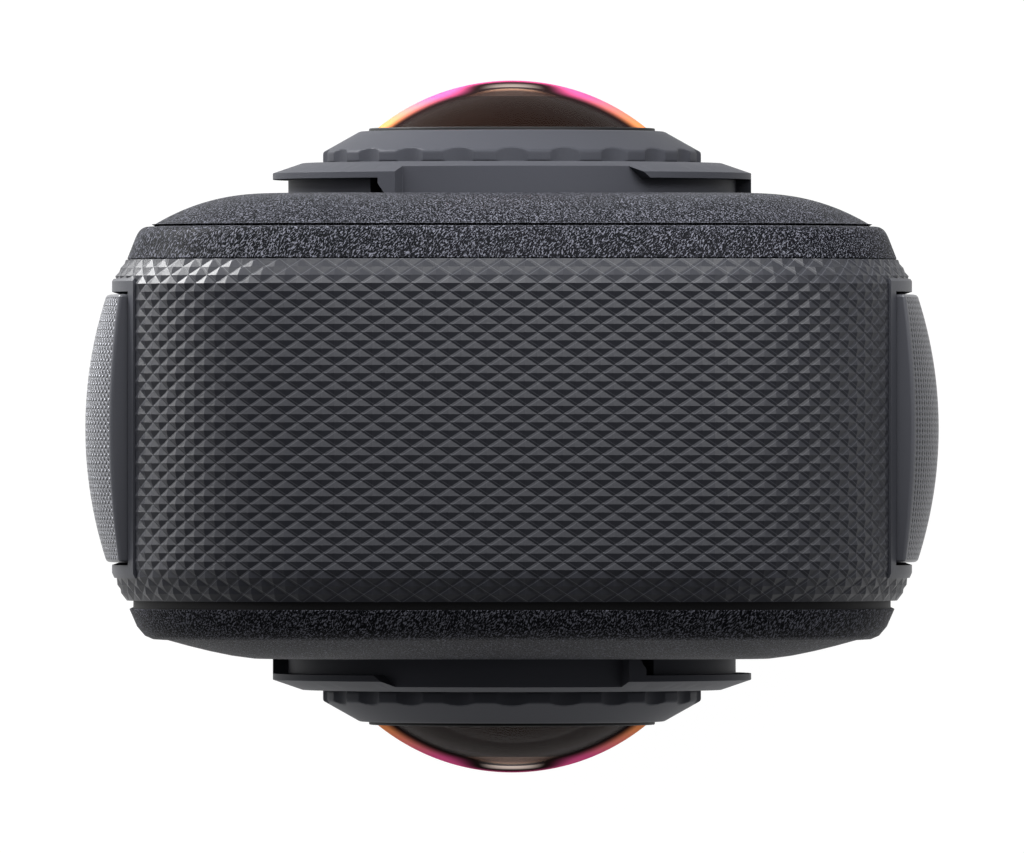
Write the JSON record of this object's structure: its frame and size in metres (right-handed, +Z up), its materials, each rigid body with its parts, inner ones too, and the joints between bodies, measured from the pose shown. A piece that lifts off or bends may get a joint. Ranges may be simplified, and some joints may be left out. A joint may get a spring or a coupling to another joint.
{
  "type": "360 degree camera",
  "caption": "Slim upright 360 degree camera with a fisheye lens on each side, a touch screen, side wind guards, a slide-out battery and a threaded base.",
  "frame": {"origin": "middle of the flat base", "axes": "+Z up, +Y out of the back cover, -Y out of the screen side, +X to the right of someone who faces the screen"},
  "size_m": [0.046, 0.0376, 0.1245],
  "materials": {
    "grip_rubber": "moulded pyramid grip, satin",
    "frame_plastic": "smooth satin moulding",
    "shell_plastic": "leather-grained moulding",
    "lens_metal": "fine satin, dark anodised",
    "dome_glass": "coated glass, pink and orange edge",
    "black_plastic": "matt black",
    "inner_glass": "coated green and gold",
    "seal_rubber": "matt",
    "screen_glass": "polished, black behind",
    "button_plastic": "satin",
    "guard_mesh": "fine dark woven mesh",
    "foam": "open-cell foam",
    "steel": "turned",
    "brass": "turned",
    "board": "green solder mask",
    "alloy": "sheet",
    "battery_wrap": "moulded",
    "latch_plastic": "satin orange",
    "light_pipe": "clear"
  },
  "bodies": {
    "housing": {"mid_frame": "frame_plastic", "grip_skin": "grip_rubber", "rear_shell": "shell_plastic", "rear_panel": "shell_plastic", "rear_gasket": "seal_rubber", "front_gasket": "seal_rubber", "front_shell": "shell_plastic", "front_panel": "shell_plastic", "heat_spreader": "alloy", "sensor_boards": "board", "image_sensors": "black_plastic", "screen_glass": "screen_glass", "display_module": "black_plastic", "status_light": "light_pipe", "front_key_domes": "steel", "front_key_board": "board", "side_key_domes": "steel", "side_key_board": "board", "right_wind_guard": "guard_mesh", "left_wind_guard": "guard_mesh", "wind_foams": "foam", "microphones": "steel", "speaker": "black_plastic", "usb_door_pin": "steel", "usb_socket": "steel", "usb_board": "board", "battery_bay": "black_plastic", "card_socket": "steel", "battery_contacts": "brass", "main_board": "board", "shield_cans": "alloy", "tripod_insert": "brass", "rear_screws": "steel", "rear_lens_mount": "lens_metal", "rear_lens_barrel": "black_plastic", "front_lens_mount": "lens_metal", "front_lens_barrel": "black_plastic"},
    "rear_lens_unit": {"rear_lens_ring": "lens_metal", "rear_lens_dome": "dome_glass", "rear_dome_seal": "seal_rubber", "rear_lens_cell": "black_plastic", "rear_inner_lens": "inner_glass"},
    "front_lens_unit": {"front_lens_ring": "lens_metal", "front_lens_dome": "dome_glass", "front_dome_seal": "seal_rubber", "front_lens_cell": "black_plastic", "front_inner_lens": "inner_glass"},
    "shutter_button": {"shutter_button": "button_plastic"},
    "mode_button": {"mode_button": "button_plastic"},
    "power_button": {"power_button": "button_plastic"},
    "quick_button": {"quick_button": "button_plastic"},
    "usb_door": {"usb_door": "frame_plastic", "usb_door_seal": "seal_rubber"},
    "battery": {"battery_pack": "battery_wrap", "battery_cap": "frame_plastic", "battery_seal": "seal_rubber"},
    "upper_latch": {"upper_battery_latch": "latch_plastic"},
    "lower_latch": {"lower_battery_latch": "latch_plastic"}
  },
  "joints": [
    {"name": "rear_lens_turn", "type": "hinge", "parent": "housing", "child": "rear_lens_unit", "pos_m": [0, 0.0155, 0.102], "axis": [0, 1, 0], "range_deg": [0, 30]},
    {"name": "front_lens_turn", "type": "hinge", "parent": "housing", "child": "front_lens_unit", "pos_m": [0, -0.0155, 0.102], "axis": [0, -1, 0], "range_deg": [0, 30]},
    {"name": "shutter_press", "type": "slide", "parent": "housing", "child": "shutter_button", "axis": [0, 1, 0], "range_m": [0, 0.0004], "stiffness_N_per_m": 1200, "springref_m": -0.0002},
    {"name": "mode_press", "type": "slide", "parent": "housing", "child": "mode_button", "axis": [0, 1, 0], "range_m": [0, 0.0004], "stiffness_N_per_m": 1200, "springref_m": -0.0002},
    {"name": "power_press", "type": "slide", "parent": "housing", "child": "power_button", "axis": [-1, 0, 0], "range_m": [0, 0.0004], "stiffness_N_per_m": 1200, "springref_m": -0.0002},
    {"name": "quick_press", "type": "slide", "parent": "housing", "child": "quick_button", "axis": [-1, 0, 0], "range_m": [0, 0.0004], "stiffness_N_per_m": 1200, "springref_m": -0.0002},
    {"name": "usb_door_swing", "type": "hinge", "parent": "housing", "child": "usb_door", "pos_m": [0.0205, -0.0005, 0.02948], "axis": [0, 1, 0], "range_deg": [0, 95]},
    {"name": "battery_slide", "type": "slide", "parent": "housing", "child": "battery", "axis": [-1, 0, 0], "range_m": [0, 0.032]},
    {"name": "upper_latch_slide", "type": "slide", "parent": "battery", "child": "upper_latch", "axis": [0, 0, -1], "range_m": [0, 0.0022]},
    {"name": "lower_latch_slide", "type": "slide", "parent": "battery", "child": "lower_latch", "axis": [0, 0, 1], "range_m": [0, 0.0022]}
  ]
}
